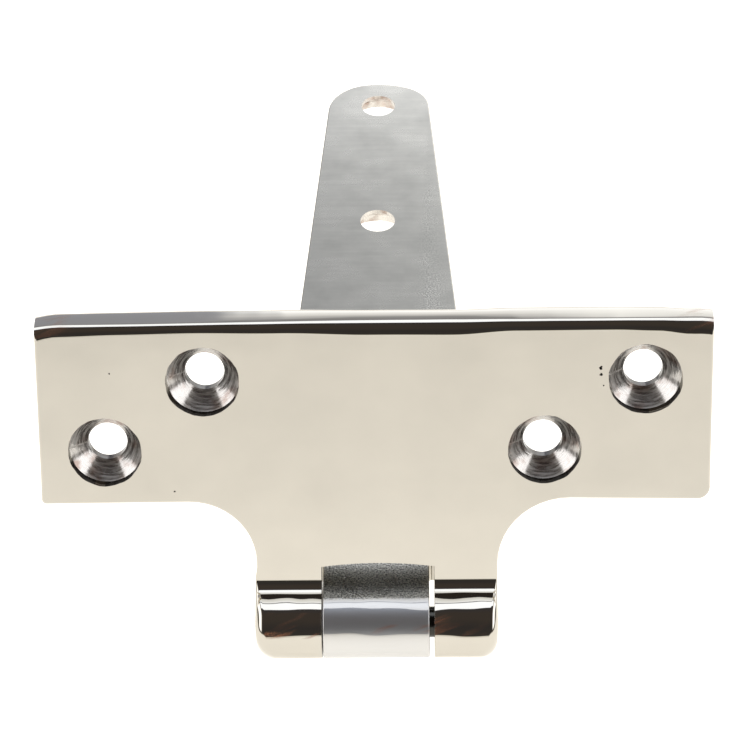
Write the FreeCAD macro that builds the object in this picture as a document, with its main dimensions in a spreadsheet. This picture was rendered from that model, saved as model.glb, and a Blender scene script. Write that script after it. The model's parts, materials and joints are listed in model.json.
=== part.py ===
"""T hinge for a door, gate or fence: two leaves on one pin.

The cross plate is the head of the T and carries the two outer knuckles. The strap is its stem and
carries the centre knuckle. The pin is held fast in the outer knuckles and runs in the centre one.

Each piece is drawn in a leaf frame: X runs along the pin, whose axis is the X axis, Y runs up the
leaf away from the pin, and Z points out of the leaf's front, the side with the countersinks. The
back of each leaf is flush with the back of the barrel.

The assembly frame has its origin on the back of the strap, at the middle of its row of screw holes,
with +X along the pin, +Y towards the strap's tip and +Z out of the strap's back. The cross plate is
folded back over the strap, as far as it goes.
"""
import FreeCAD, Part
import math
import os
import Sketcher

# name, millimetres or degrees, what it is
SIZES = [
    ("plate_width", 100.0, "cross plate, tip to tip of its wings"),
    ("plate_height", 48.5, "pin axis to the top edge of the cross plate"),
    ("plate_thickness", 5.3, "cross plate, back to front"),
    ("wing_bottom", 20.5, "pin axis to the lower edge of the wings"),
    ("neck_radius", 10.0, "hollow corner between a wing and the neck"),
    ("strap_length", 130.4, "pin axis to the tip of the strap"),
    ("strap_root_width", 34.4, "strap across its shoulders"),
    ("strap_tip_width", 17.0, "strap where its sides meet the end curve"),
    ("strap_thickness", 4.4, "strap, back to front"),
    ("tip_radius", 13.0, "end curve of the strap"),
    ("tip_corner", 6.0, "rounding between the end curve and the sides"),
    ("barrel_radius", 5.45, "outside of all three knuckles"),
    ("barrel_length", 36.6, "over both outer knuckles, and the width of the neck"),
    ("knuckle_width", 16.15, "centre knuckle"),
    ("end_float", 1.03, "play of the centre knuckle along the pin"),
    ("slot_shift", 0.28, "slot for the centre knuckle, off the middle"),
    ("slot_margin", 1.5, "the slot reaches this much further up than the strap's shoulders"),
    ("slot_arch", 0.6, "rise of the slot's curved top edge"),
    ("root_radius", 2.0, "hollow between the front of a leaf and its knuckles"),
    ("pin_radius", 2.35, "pin, and its tight holes in the outer knuckles"),
    ("running_clearance", 0.05, "around the pin in the centre knuckle"),
    ("pin_proud", 0.25, "rise of each domed end of the pin out of the barrel"),
    ("fold_angle", 71.0, "between the backs of the leaves, folded back against the stop"),
    ("stop_clearance", 0.12, "between the strap's shoulders and the cross plate at that stop"),
    ("screw_radius", 2.95, "hole for the screw's shank"),
    ("head_radius", 5.5, "wide end of the 90 degree countersink"),
    ("head_depth", 1.3, "straight wall above the countersink's cone"),
    ("side_inset", 9.85, "outer holes of the cross plate, in from its ends"),
    ("hole_stagger", 14.9, "from an outer hole to the inner one beside it, along the pin"),
    ("top_inset", 8.55, "upper holes of the cross plate, down from its top edge"),
    ("bottom_inset", 8.2, "lower holes of the cross plate, up from the wings' lower edge"),
    ("first_hole", 25.8, "pin axis to the strap's first hole"),
    ("tip_inset", 6.5, "strap's last hole, in from its tip"),
    ("edge_radius", 0.8, "softened front edges and barrel ends"),
]
STRAP_HOLES = 4
CUT_MARGIN = 2.0        # how far a cut starts outside the metal

SHOULDER = "(Sizes.barrel_radius / tan(Sizes.fold_angle * 1 deg / 2) + Sizes.stop_clearance)"
SLOT_EDGE = SHOULDER + " + Sizes.slot_margin"
LAST_HOLE = "(Sizes.strap_length - Sizes.tip_inset)"
HOLE_ROW_MIDDLE = "(Sizes.first_hole + " + LAST_HOLE + ") / 2"

doc = FreeCAD.newDocument("t_hinge")


def make_sheet():
    """Write the driving dimensions to a spreadsheet, one alias a row."""
    sheet = doc.addObject("Spreadsheet::Sheet", "Sizes")
    for row, (alias, value, meaning) in enumerate(SIZES, start=1):
        sheet.set("A%d" % row, alias)
        sheet.set("B%d" % row, str(value))
        sheet.set("C%d" % row, meaning)
        sheet.setAlias("B%d" % row, alias)
    doc.recompute()
    return sheet


def value(expression):
    """The number that an expression in the sheet's names comes to."""
    return float(doc.Sizes.evalExpression(expression.replace("Sizes.", "")))


def new_sketch(body, name, role):
    """An empty sketch on one of the body's own origin planes."""
    sketch = body.newObject("Sketcher::SketchObject", name)
    plane = next(p for p in body.Origin.OriginFeatures if p.Role == role)
    sketch.AttachmentSupport = [(plane, "")]
    sketch.MapMode = "FlatFace"
    return sketch


def bind(sketch, constraint, expression):
    """Add a constraint whose number follows the sheet."""
    index = sketch.addConstraint(constraint)
    sketch.setExpression("Constraints[%d]" % index, expression)


def arc_through(start, end, radius):
    """The short arc from start to end that bows out to the left of that direction's reverse."""
    middle = (start + end) * 0.5
    chord = end - start
    reach = math.sqrt(radius ** 2 - (chord.Length / 2) ** 2)
    inward = FreeCAD.Vector(-chord.y, chord.x, 0).normalize()
    centre = middle + inward * reach
    circle = Part.Circle(centre, FreeCAD.Vector(0, 0, 1), radius)
    first = math.atan2(start.y - centre.y, start.x - centre.x)
    last = math.atan2(end.y - centre.y, end.x - centre.x)
    return Part.ArcOfCircle(circle, first, last)


def draw_outline(sketch, corners, arcs=None):
    """Draw a closed outline, anticlockwise, through corners that follow the sheet.

    arcs gives the radius of each side that is an arc, by the number of the corner it starts from.
    """
    arcs = arcs or {}
    points = [FreeCAD.Vector(value(x), value(y), 0) for x, y in corners]
    count = len(points)
    for i in range(count):
        start, end = points[i], points[(i + 1) % count]
        if i in arcs:
            sketch.addGeometry(arc_through(start, end, value(arcs[i])))
        else:
            sketch.addGeometry(Part.LineSegment(start, end))
    for i, (x, y) in enumerate(corners):
        sketch.addConstraint(Sketcher.Constraint("Coincident", i, 2, (i + 1) % count, 1))
        bind(sketch, Sketcher.Constraint("DistanceX", -1, 1, i, 1, points[i].x), x)
        bind(sketch, Sketcher.Constraint("DistanceY", -1, 1, i, 1, points[i].y), y)
    for i, radius in arcs.items():
        bind(sketch, Sketcher.Constraint("Radius", i, value(radius)), radius)


def circle_sketch(body, name, role, radius):
    """A circle about the pin axis."""
    sketch = new_sketch(body, name, role)
    normal = FreeCAD.Vector(0, 0, 1)
    sketch.addGeometry(Part.Circle(FreeCAD.Vector(), normal, value(radius)))
    sketch.addConstraint(Sketcher.Constraint("Coincident", 0, 3, -1, 1))
    bind(sketch, Sketcher.Constraint("Radius", 0, value(radius)), radius)
    return sketch


def add_leaf_plate(body, corners, thickness, arcs=None):
    """Pad the leaf's outline up from its back face, which is level with the barrel's back."""
    sketch = new_sketch(body, "outline", "XY_Plane")
    draw_outline(sketch, corners, arcs)
    sketch.setExpression("AttachmentOffset.Base.z", "-Sizes.barrel_radius")
    pad = body.newObject("PartDesign::Pad", "plate")
    pad.Profile = sketch
    pad.setExpression("Length", thickness)
    doc.recompute()
    return pad


def add_barrel(body, width):
    """Pad the round barrel across the foot of the leaf."""
    pad = body.newObject("PartDesign::Pad", "barrel")
    pad.Profile = circle_sketch(body, "barrel_end", "YZ_Plane", "Sizes.barrel_radius")
    pad.Midplane = True
    pad.setExpression("Length", width)
    doc.recompute()
    return pad


def add_fillet(body, name, chosen, radius):
    """Round the edges of the body's tip for which chosen is true."""
    base = body.Tip
    names = ["Edge%d" % (i + 1) for i, edge in enumerate(base.Shape.Edges) if chosen(edge)]
    if not names:
        raise RuntimeError("no edge to round for " + name)
    fillet = body.newObject("PartDesign::Fillet", name)
    fillet.Base = (base, names)
    fillet.setExpression("Radius", radius)
    doc.recompute()
    return fillet


def is_root_edge(thickness):
    """Tell the inner edge where the front of a leaf runs into its barrel."""
    front = value(thickness + " - Sizes.barrel_radius")
    foot = math.sqrt(value("Sizes.barrel_radius") ** 2 - front ** 2)

    def chosen(edge):
        box = edge.BoundBox
        flat = box.YLength < 1e-4 and box.ZLength < 1e-4
        return flat and abs(box.YMin - foot) < 1e-4 and abs(box.ZMin - front) < 1e-4
    return chosen


def add_through_cut(body, name, sketch):
    """Cut a sketch right through the body, both ways from its plane."""
    before = body.Tip.Shape.Volume
    pocket = body.newObject("PartDesign::Pocket", name)
    pocket.Profile = sketch
    pocket.Midplane = True
    pocket.Type = "ThroughAll"
    doc.recompute()
    if not pocket.Shape.Volume < before - 1e-3:
        raise RuntimeError(name + " cuts nothing")
    return pocket


def add_screw_hole(body, name, x, y, thickness):
    """Turn one countersunk screw hole into the front of a leaf, at x and y."""
    back = "-Sizes.barrel_radius"
    front = "%s - Sizes.barrel_radius" % thickness
    ledge = "%s - Sizes.head_depth" % front
    throat = "%s - (Sizes.head_radius - Sizes.screw_radius)" % ledge
    profile = [
        ("0", "%s - %s" % (back, CUT_MARGIN)),
        ("Sizes.screw_radius", "%s - %s" % (back, CUT_MARGIN)),
        ("Sizes.screw_radius", throat),
        ("Sizes.head_radius", ledge),
        ("Sizes.head_radius", "%s + %s" % (front, CUT_MARGIN)),
        ("0", "%s + %s" % (front, CUT_MARGIN)),
    ]
    sketch = new_sketch(body, name + "_profile", "XZ_Plane")
    draw_outline(sketch, profile)
    sketch.setExpression("AttachmentOffset.Base.x", x)
    sketch.setExpression("AttachmentOffset.Base.z", "-(%s)" % y)
    doc.recompute()
    before = body.Tip.Shape.Volume
    groove = body.newObject("PartDesign::Groove", name)
    groove.Profile = sketch
    groove.ReferenceAxis = (sketch, ["V_Axis"])
    groove.Angle = 360
    doc.recompute()
    if not groove.Shape.Volume < before - 1e-3:
        raise RuntimeError(name + " cuts nothing")
    return groove


def place(body, axis, angle):
    """Move a piece from the leaf frame to the assembly frame, turned about axis."""
    body.Placement = FreeCAD.Placement(FreeCAD.Vector(), FreeCAD.Rotation(axis, 0))
    body.setExpression("Placement.Base.y", "-(%s)" % HOLE_ROW_MIDDLE)
    body.setExpression("Placement.Base.z", "-Sizes.barrel_radius")
    body.Placement.Rotation = FreeCAD.Rotation(axis, value(angle))
    body.setExpression("Placement.Rotation.Angle", angle)
    doc.recompute()


def make_cross_plate():
    """The short wide leaf, with its two outer knuckles."""
    body = doc.addObject("PartDesign::Body", "cross_plate")
    half = "Sizes.plate_width / 2"
    neck = "Sizes.barrel_length / 2"
    top = "Sizes.plate_height"
    wing = "Sizes.wing_bottom"
    add_leaf_plate(body, [
        ("-" + neck, "0"), (neck, "0"), (neck, wing), (half, wing),
        (half, top), ("-" + half, top), ("-" + half, wing), ("-" + neck, wing),
    ], "Sizes.plate_thickness")
    neck_half, wing_low = value(neck), value(wing)

    def is_neck_corner(edge):
        box = edge.BoundBox
        upright = box.XLength < 1e-4 and box.YLength < 1e-4
        return upright and abs(abs(box.XMin) - neck_half) < 1e-4 and abs(box.YMin - wing_low) < 1e-4
    add_fillet(body, "neck_hollow", is_neck_corner, "Sizes.neck_radius")
    add_barrel(body, "Sizes.barrel_length")
    add_fillet(body, "root_hollow", is_root_edge("Sizes.plate_thickness"), "Sizes.root_radius")

    front = value("Sizes.plate_thickness - Sizes.barrel_radius")
    half_width = value(half)

    def is_front_edge(edge):
        box = edge.BoundBox
        middle = edge.valueAt((edge.FirstParameter + edge.LastParameter) / 2)
        on_front = box.ZLength < 1e-4 and abs(box.ZMin - front) < 1e-4 and edge.Length > 1.0
        on_end = box.XLength < 1e-4 and abs(abs(middle.x) - neck_half) < 1e-4 and middle.y < 0
        inner_line = box.YLength < 1e-4 and abs(middle.x) < 1e-4 and middle.y < wing_low
        return (on_front and not inner_line) or on_end
    add_fillet(body, "soft_edges", is_front_edge, "Sizes.edge_radius")

    slot_half = "(Sizes.knuckle_width + Sizes.end_float) / 2"
    left = "Sizes.slot_shift - " + slot_half
    right = "Sizes.slot_shift + " + slot_half
    below = "-Sizes.barrel_radius - %s" % CUT_MARGIN
    side_top = SLOT_EDGE
    slot = new_sketch(body, "slot_outline", "XY_Plane")
    arch_radius = "((%s)^2 + Sizes.slot_arch^2) / (2 * Sizes.slot_arch)" % slot_half
    draw_outline(slot, [(left, below), (right, below), (right, side_top), (left, side_top)],
                 {2: arch_radius})
    add_through_cut(body, "slot", slot)
    add_through_cut(body, "pin_hole", circle_sketch(body, "pin_hole_end", "YZ_Plane",
                                                    "Sizes.pin_radius"))
    outer = "(Sizes.plate_width / 2 - Sizes.side_inset)"
    inner = "(%s - Sizes.hole_stagger)" % outer
    low = "Sizes.wing_bottom + Sizes.bottom_inset"
    high = "Sizes.plate_height - Sizes.top_inset"
    holes = [("-" + outer, low), ("-" + inner, high), (inner, low), (outer, high)]
    for number, (x, y) in enumerate(holes, start=1):
        add_screw_hole(body, "plate_hole_%d" % number, x, y, "Sizes.plate_thickness")
    place(body, FreeCAD.Vector(1, 0, 0), "Sizes.fold_angle")
    return body


def make_strap():
    """The long tapered leaf, with the centre knuckle."""
    body = doc.addObject("PartDesign::Body", "strap")
    tongue = "Sizes.knuckle_width / 2"
    root = "Sizes.strap_root_width / 2"
    tip = "Sizes.strap_tip_width / 2"
    drop = "(Sizes.tip_radius - sqrt(Sizes.tip_radius^2 - (%s)^2))" % tip
    tip_corner = "Sizes.strap_length - " + drop
    add_leaf_plate(body, [
        ("-" + tongue, "0"), (tongue, "0"), (tongue, SHOULDER), (root, SHOULDER),
        (tip, tip_corner), ("-" + tip, tip_corner), ("-" + root, SHOULDER),
        ("-" + tongue, SHOULDER),
    ], "Sizes.strap_thickness", {4: "Sizes.tip_radius"})
    corner_x, corner_y = value(tip), value(tip_corner)

    def is_tip_corner(edge):
        box = edge.BoundBox
        upright = box.XLength < 1e-4 and box.YLength < 1e-4
        return upright and abs(abs(box.XMin) - corner_x) < 1e-4 and abs(box.YMin - corner_y) < 1e-4
    add_fillet(body, "tip_rounding", is_tip_corner, "Sizes.tip_corner")
    add_barrel(body, "Sizes.knuckle_width")
    add_fillet(body, "root_hollow", is_root_edge("Sizes.strap_thickness"), "Sizes.root_radius")

    front = value("Sizes.strap_thickness - Sizes.barrel_radius")
    shoulder = value(SHOULDER)

    def is_front_edge(edge):
        box = edge.BoundBox
        on_front = box.ZLength < 1e-4 and abs(box.ZMin - front) < 1e-4
        return on_front and box.YMax > shoulder + 1.0
    add_fillet(body, "soft_edges", is_front_edge, "Sizes.edge_radius")
    add_through_cut(body, "pin_hole", circle_sketch(
        body, "pin_hole_end", "YZ_Plane", "Sizes.pin_radius + Sizes.running_clearance"))
    for number in range(STRAP_HOLES):
        share = number / (STRAP_HOLES - 1)
        along = "Sizes.first_hole + (%s - Sizes.first_hole) * %r" % (LAST_HOLE, share)
        add_screw_hole(body, "strap_hole_%d" % (number + 1), "0", along, "Sizes.strap_thickness")
    place(body, FreeCAD.Vector(0, 1, 0), "180")
    return body


def make_pin():
    """The plain pin, with domed ends that stand a little out of the barrel."""
    body = doc.addObject("PartDesign::Body", "hinge_pin")
    half = "Sizes.barrel_length / 2"
    dome = "(Sizes.pin_radius^2 + Sizes.pin_proud^2) / (2 * Sizes.pin_proud)"
    sketch = new_sketch(body, "half_section", "XY_Plane")
    draw_outline(sketch, [
        ("-%s - Sizes.pin_proud" % half, "0"), ("%s + Sizes.pin_proud" % half, "0"),
        (half, "Sizes.pin_radius"), ("-" + half, "Sizes.pin_radius"),
    ], {1: dome, 3: dome})
    pin = body.newObject("PartDesign::Revolution", "turned_pin")
    pin.Profile = sketch
    pin.ReferenceAxis = (sketch, ["H_Axis"])
    pin.Angle = 360
    doc.recompute()
    place(body, FreeCAD.Vector(1, 0, 0), "Sizes.fold_angle")
    return body


def check(bodies):
    """Stop if anything in the document failed to build."""
    for thing in doc.Objects:
        if "Invalid" in thing.State or "Error" in thing.State:
            raise RuntimeError(thing.Name + " did not build: " + ", ".join(thing.State))
    for body in bodies:
        if body.Shape.isNull() or not body.Shape.isValid() or len(body.Shape.Solids) != 1:
            raise RuntimeError(body.Label + " is not one valid solid")


def main():
    make_sheet()
    bodies = [make_cross_plate(), make_strap(), make_pin()]
    doc.recompute()
    check(bodies)
    os.makedirs("parts", exist_ok=True)
    for body in bodies:
        body.Label = body.Name
        body.Shape.exportStep("parts/%s.step" % body.Label)
        box = body.Shape.BoundBox
        print("%-12s volume %9.1f  x %.2f..%.2f  y %.2f..%.2f  z %.2f..%.2f" % (
            body.Label, body.Shape.Volume, box.XMin, box.XMax, box.YMin, box.YMax,
            box.ZMin, box.ZMax))


main()
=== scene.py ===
"""T hinge in cast stainless steel: the cross plate, the strap and the pin, on a plain pale floor.

Each leaf is modelled in its own frame, in millimetres: X runs along the pin, whose axis is the X
axis, Y runs up the leaf away from the pin, and Z points out of the countersunk front. The leaf is
then moved to its place round the pin, in metres.
"""
import json
from math import asin, atan2, ceil, copysign, cos, degrees, hypot, pi, radians, sin, sqrt, tan

import bmesh
import bpy
from bpy.props import FloatProperty, PointerProperty, StringProperty
from mathutils import Matrix, Vector, noise


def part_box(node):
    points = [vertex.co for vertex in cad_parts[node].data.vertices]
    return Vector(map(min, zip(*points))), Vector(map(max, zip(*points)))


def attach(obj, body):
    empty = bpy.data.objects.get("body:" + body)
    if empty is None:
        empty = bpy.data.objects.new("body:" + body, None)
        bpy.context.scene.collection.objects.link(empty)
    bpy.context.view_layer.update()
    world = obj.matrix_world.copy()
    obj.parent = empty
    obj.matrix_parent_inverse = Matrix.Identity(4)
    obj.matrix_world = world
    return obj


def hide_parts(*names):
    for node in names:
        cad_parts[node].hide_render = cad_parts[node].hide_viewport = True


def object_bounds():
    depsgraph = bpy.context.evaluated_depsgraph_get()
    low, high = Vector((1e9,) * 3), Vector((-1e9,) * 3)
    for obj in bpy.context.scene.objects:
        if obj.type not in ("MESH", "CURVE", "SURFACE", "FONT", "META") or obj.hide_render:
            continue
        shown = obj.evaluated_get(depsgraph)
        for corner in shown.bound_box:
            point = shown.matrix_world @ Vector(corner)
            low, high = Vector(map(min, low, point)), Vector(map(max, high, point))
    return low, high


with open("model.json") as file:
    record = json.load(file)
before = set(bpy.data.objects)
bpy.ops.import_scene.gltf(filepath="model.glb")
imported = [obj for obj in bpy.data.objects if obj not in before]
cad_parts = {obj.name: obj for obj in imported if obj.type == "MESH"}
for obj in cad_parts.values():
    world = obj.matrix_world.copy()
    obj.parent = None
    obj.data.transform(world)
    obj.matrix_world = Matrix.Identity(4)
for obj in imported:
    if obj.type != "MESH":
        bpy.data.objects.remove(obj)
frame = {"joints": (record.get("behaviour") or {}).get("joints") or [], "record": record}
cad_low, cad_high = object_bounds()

bl_info = {
    "name": "T hinge",
    "version": (1, 0, 0),
    "blender": (4, 5, 0),
    "location": "3D View > Sidebar > Hinge",
    "description": "Models a folded T hinge in polished cast stainless steel",
    "category": "Object",
}

MM = 0.001
JOINT = frame["joints"][0]
PIN = Vector(JOINT["pos_m"])
MOUNTS = {mount["name"]: mount for mount in frame["record"]["mounts"]}
PLATE_BACK = Vector(MOUNTS["plate_outer_screws"]["axis"])
FOLD = atan2(PLATE_BACK.y, -PLATE_BACK.z)
SCREW_RADIUS = MOUNTS["plate_outer_screws"]["dims"]["hole_r_mm"]
HOLE_ROW = MOUNTS["strap_outer_screws"]["dims"]["spacing_y_mm"]
PLATE_LOW, PLATE_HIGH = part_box("cross_plate")
STRAP_LOW, STRAP_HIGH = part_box("strap")
ARC_STEP = radians(3.75)
ALONG_PIN = Matrix.Rotation(pi / 2, 4, "Y")
STRAP_HOLES = 4
TINTED = {"data_type": "RGBA", "blend_type": "MULTIPLY"}


# ---- sizes and colours

class HingeSizes(bpy.types.PropertyGroup):
    """Sizes of the hinge, in millimetres."""
    plate_width: FloatProperty(
        name="Plate width", description="Cross plate from wing tip to wing tip",
        default=(PLATE_HIGH.x - PLATE_LOW.x) / MM)
    plate_height: FloatProperty(
        name="Plate height", description="Pin axis to the top edge of the cross plate", default=48.5)
    plate_thickness: FloatProperty(
        name="Plate thickness", description="Cross plate from back to front", default=5.3)
    wing_bottom: FloatProperty(
        name="Wing bottom", description="Pin axis to the lower edge of the wings", default=20.5)
    neck_radius: FloatProperty(
        name="Neck radius", description="Hollow corner between a wing and the neck", default=10.0)
    barrel_length: FloatProperty(
        name="Barrel length", description="Over both outer knuckles", default=36.6)
    barrel_radius: FloatProperty(
        name="Barrel radius", description="Outside of the knuckles", default=-PIN.z / MM)
    root_radius: FloatProperty(
        name="Root radius", description="Hollow between a leaf's front and its knuckles", default=2.0)
    strap_length: FloatProperty(
        name="Strap length", description="Pin axis to the tip of the strap",
        default=(STRAP_HIGH.y - PIN.y) / MM)
    strap_root_width: FloatProperty(
        name="Strap root width", description="Strap across its shoulders",
        default=(STRAP_HIGH.x - STRAP_LOW.x) / MM)
    strap_tip_width: FloatProperty(
        name="Strap tip width", description="Strap where its sides meet the end curve", default=17.0)
    strap_thickness: FloatProperty(
        name="Strap thickness", description="Strap from back to front", default=4.4)
    tip_radius: FloatProperty(
        name="Tip radius", description="End curve of the strap", default=13.0)
    tip_corner: FloatProperty(
        name="Tip corner", description="Rounding beside the end curve", default=6.0)
    shoulder: FloatProperty(
        name="Shoulder", description="Pin axis to the strap's shoulders", default=7.76)
    knuckle_width: FloatProperty(
        name="Knuckle width", description="Centre knuckle along the pin", default=16.15)
    slot_left: FloatProperty(
        name="Slot left", description="Left wall of the slot for the centre knuckle", default=-8.25)
    slot_right: FloatProperty(
        name="Slot right", description="Right wall of the slot for the centre knuckle", default=8.87)
    slot_edge: FloatProperty(
        name="Slot edge", description="Pin axis to the corners of the slot's top", default=9.26)
    slot_arch: FloatProperty(
        name="Slot arch", description="Rise of the slot's curved top", default=0.6)
    pin_radius: FloatProperty(
        name="Pin radius", description="Outside of the pin", default=2.35)
    pin_proud: FloatProperty(
        name="Pin proud", description="Rise of the pin's domed ends", default=0.25)
    running_clearance: FloatProperty(
        name="Running clearance", description="Round the pin in the centre knuckle", default=0.05)
    head_radius: FloatProperty(
        name="Head radius", description="Wide end of a countersink", default=5.5)
    cone_angle: FloatProperty(
        name="Cone angle", description="Countersink's cone, side to side",
        default=radians(94), subtype="ANGLE")
    head_depth: FloatProperty(
        name="Head depth", description="Straight wall above a countersink's cone", default=1.5)


class HingeColours(bpy.types.PropertyGroup):
    """Colours of the hinge and its stage, as sRGB hex values."""
    polished: StringProperty(
        name="Polished steel", description="Mirror-polished stainless", default="C4BFB4")
    haze: StringProperty(
        name="Haze", description="Coarser finish on the centre knuckle", default="D6D8DC")
    painted_warm_streak: StringProperty(
        # Painted reflection: the brown of a warm bar seen in the barrel's mirror.
        name="Warm streak", description="Brown smears round the barrel", default="A8765C")
    ground: StringProperty(
        name="Ground steel", description="Plain back of a leaf", default="AEACA4")
    turned: StringProperty(
        name="Turned steel", description="Countersinks", default="D2CEC8")
    stain: StringProperty(
        name="Stain", description="Brown tint in the countersinks", default="9A8072")
    floor: StringProperty(
        name="Floor", description="Light of the pale floor", default="FFFCF6")
    floor_shade: StringProperty(
        name="Floor shade", description="Colour of the pale floor unlit", default="B4B2AE")


# ---- node and colour helpers

def linear(code):
    """Turn an sRGB hex value such as C0FFEE to a linear colour with alpha."""
    channels = [int(code[i:i + 2], 16) / 255 for i in (0, 2, 4)]
    return [c / 12.92 if c <= 0.04045 else ((c + 0.055) / 1.055) ** 2.4 for c in channels] + [1.0]


def add_node(tree, kind, inputs=None, **settings):
    """Add a shader node with its settings; an input takes a value, a socket or a node's result."""
    node = tree.nodes.new("ShaderNode" + kind)
    for name, setting in settings.items():
        setattr(node, name, setting)
    for name, source in (inputs or {}).items():
        if isinstance(source, bpy.types.Node):
            source = next(socket for socket in source.outputs if socket.enabled)
        if isinstance(source, bpy.types.NodeSocket):
            tree.links.new(source, node.inputs[name])
        else:
            node.inputs[name].default_value = source
    return node


def new_material(name):
    """A material with an empty node tree."""
    material = bpy.data.materials.new(name)
    material.use_nodes = True
    material.node_tree.nodes.clear()
    return material, material.node_tree


def set_ramp(ramp, stops):
    """Give a colour ramp its stops, as pairs of position and colour."""
    while len(ramp.elements) > 1:
        ramp.elements.remove(ramp.elements[-1])
    for number, (place, colour) in enumerate(stops):
        stop = ramp.elements[0] if number == 0 else ramp.elements.new(place)
        stop.position = place
        stop.color = colour


# ---- outlines

def clamp(share):
    """Hold a share between 0 and 1."""
    return min(1.0, max(0.0, share))


def ease(share):
    """Let a share from 0 to 1 start and end its rise gently."""
    return share * share * (3 - 2 * share)


def run(start, end, longest=1.5):
    """Points along a straight run, without its end."""
    count = max(1, ceil((end - start).length / longest))
    return [start.lerp(end, i / count) for i in range(count)]


def arc(centre, radius, first, last, step=ARC_STEP):
    """Points along an arc, with both ends."""
    count = max(2, ceil(abs(last - first) / step))
    turns = [first + (last - first) * i / count for i in range(count + 1)]
    return [centre + radius * Vector((cos(a), sin(a))) for a in turns]


def rounded_path(corners):
    """Points along a path whose corners, each a point and a radius, are rounded."""
    points = []
    start = corners[0][0]
    for (before, _), (corner, radius), (after, _) in zip(corners, corners[1:], corners[2:]):
        arriving = (corner - before).normalized()
        leaving = (after - corner).normalized()
        turn = arriving.angle_signed(leaving)
        reach = radius * tan(abs(turn) / 2)
        side = Vector((arriving.y, -arriving.x)) * copysign(1, turn)
        first_point = corner - arriving * reach
        centre = first_point + side * radius
        first = atan2(-side.y, -side.x)
        points += run(start, first_point)
        points += arc(centre, radius, first, first - turn, radians(9))[:-1]
        start = corner + leaving * reach
    return points + run(start, corners[-1][0]) + [corners[-1][0]]


def outward(points):
    """Unit normals of an anticlockwise path, pointing out of what it surrounds."""
    normals = []
    for i in range(len(points)):
        ahead = points[min(i + 1, len(points) - 1)] - points[i]
        behind = points[i] - points[max(i - 1, 0)]
        along = ahead.normalized() + behind.normalized()
        normals.append(Vector((along.y, -along.x)).normalized())
    return normals


def section(size, thickness):
    """Points and normals round the foot of a leaf, from its front, round the barrel, to its back."""
    radius, hollow = size.barrel_radius, size.root_radius
    front = thickness - radius
    height = front + hollow
    foot = sqrt((radius + hollow) ** 2 - height ** 2)
    start = atan2(height, foot)
    hollow_points = arc(Vector((foot, height)), hollow, radians(270), pi + start,
                        radians(5))
    barrel_points = arc(Vector((0, 0)), radius, start, radians(270))
    points = hollow_points[:-1] + barrel_points
    normals = [(Vector((foot, height)) - p).normalized() for p in hollow_points[:-1]]
    normals += [p.normalized() for p in barrel_points]
    points.append(Vector((foot, -radius)))
    normals.append(Vector((0, -1)))
    return points, normals


# ---- solids

def closed_mesh(bm, name):
    """Turn a closed shape to a mesh, its faces pointing out."""
    bmesh.ops.recalc_face_normals(bm, faces=bm.faces)
    mesh = bpy.data.meshes.new(name)
    bm.to_mesh(mesh)
    bm.free()
    return mesh


def close_rings(bm, rings):
    """Quads round neighbouring closed rings, and a face over each end."""
    for one, other in zip(rings, rings[1:]):
        for i in range(len(one)):
            j = (i + 1) % len(one)
            bm.faces.new([one[i], one[j], other[j], other[i]])
    bm.faces.new(rings[0][::-1])
    bm.faces.new(rings[-1])


def rounded_edge(bm, stations, steps):
    """Rings of vertices over a rounded edge.

    Each station is the sharp edge's point, the two surfaces' normals there and the radius.
    """
    rings = []
    for point, over, side, radius in stations:
        centre = point - radius * (over + side)
        turns = [pi / 2 * i / steps for i in range(steps + 1)]
        rings.append([bm.verts.new(centre + radius * (cos(a) * over + sin(a) * side))
                      for a in turns])
    return rings


def skin(bm, rings, flip=False):
    """Quads between neighbouring rings."""
    for one, other in zip(rings, rings[1:]):
        for i in range(len(one) - 1):
            corners = [one[i], one[i + 1], other[i + 1], other[i]]
            bm.faces.new(corners[::-1] if flip else corners)


def leaf_shell(name, size, outline, thickness, front_radius, back_radius, end_radius):
    """A closed leaf with its barrel across the foot, every edge rounded.

    outline runs from the right of the foot round to the left. front_radius and back_radius give
    the rounding at a point of the outline, and end_radius the rounding at an angle round the
    barrel and a side, -1 or 1.
    """
    bm = bmesh.new()
    over = Vector((0, 0, 1))
    back = -size.barrel_radius
    front = thickness + back
    sides = outward(outline)
    sides[0], sides[-1] = Vector((1, 0)), Vector((-1, 0))
    foot, foot_normals = section(size, thickness)
    fronts = [(p.to_3d() + over * front, over, s.to_3d(), front_radius(p))
              for p, s in zip(outline, sides)]
    backs = [(p.to_3d() + over * back, -over, s.to_3d(), back_radius(p))
             for p, s in zip(outline, sides)]
    front_rings = rounded_edge(bm, fronts, 9)
    back_rings = rounded_edge(bm, backs, 6)
    ends = {}
    for side, end in ((1, outline[0].x), (-1, outline[-1].x)):
        out = Vector((side, 0, 0))
        stations = []
        for p, n in zip(foot, foot_normals):
            angle = degrees(atan2(n.y, n.x)) % 360
            stations.append((Vector((end, p.x, p.y)), Vector((0, n.x, n.y)), out,
                             end_radius(p, angle, side)))
        ends[side] = rounded_edge(bm, stations, 9)
    skin(bm, front_rings)
    skin(bm, back_rings, flip=True)
    skin(bm, ends[1], flip=True)
    skin(bm, ends[-1])
    for i in range(len(outline) - 1):
        bm.faces.new([front_rings[i][-1], back_rings[i][-1],
                      back_rings[i + 1][-1], front_rings[i + 1][-1]])
    for i in range(len(foot) - 1):
        bm.faces.new([ends[-1][i][0], ends[1][i][0], ends[1][i + 1][0], ends[-1][i + 1][0]][::-1])
    bm.faces.new([ring[0] for ring in front_rings])
    bm.faces.new([ring[0] for ring in back_rings][::-1])
    bm.faces.new([ring[-1] for ring in ends[1]][::-1])
    bm.faces.new([ring[-1] for ring in ends[-1]])
    bmesh.ops.remove_doubles(bm, verts=bm.verts, dist=1e-4)
    return closed_mesh(bm, name)


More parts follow.
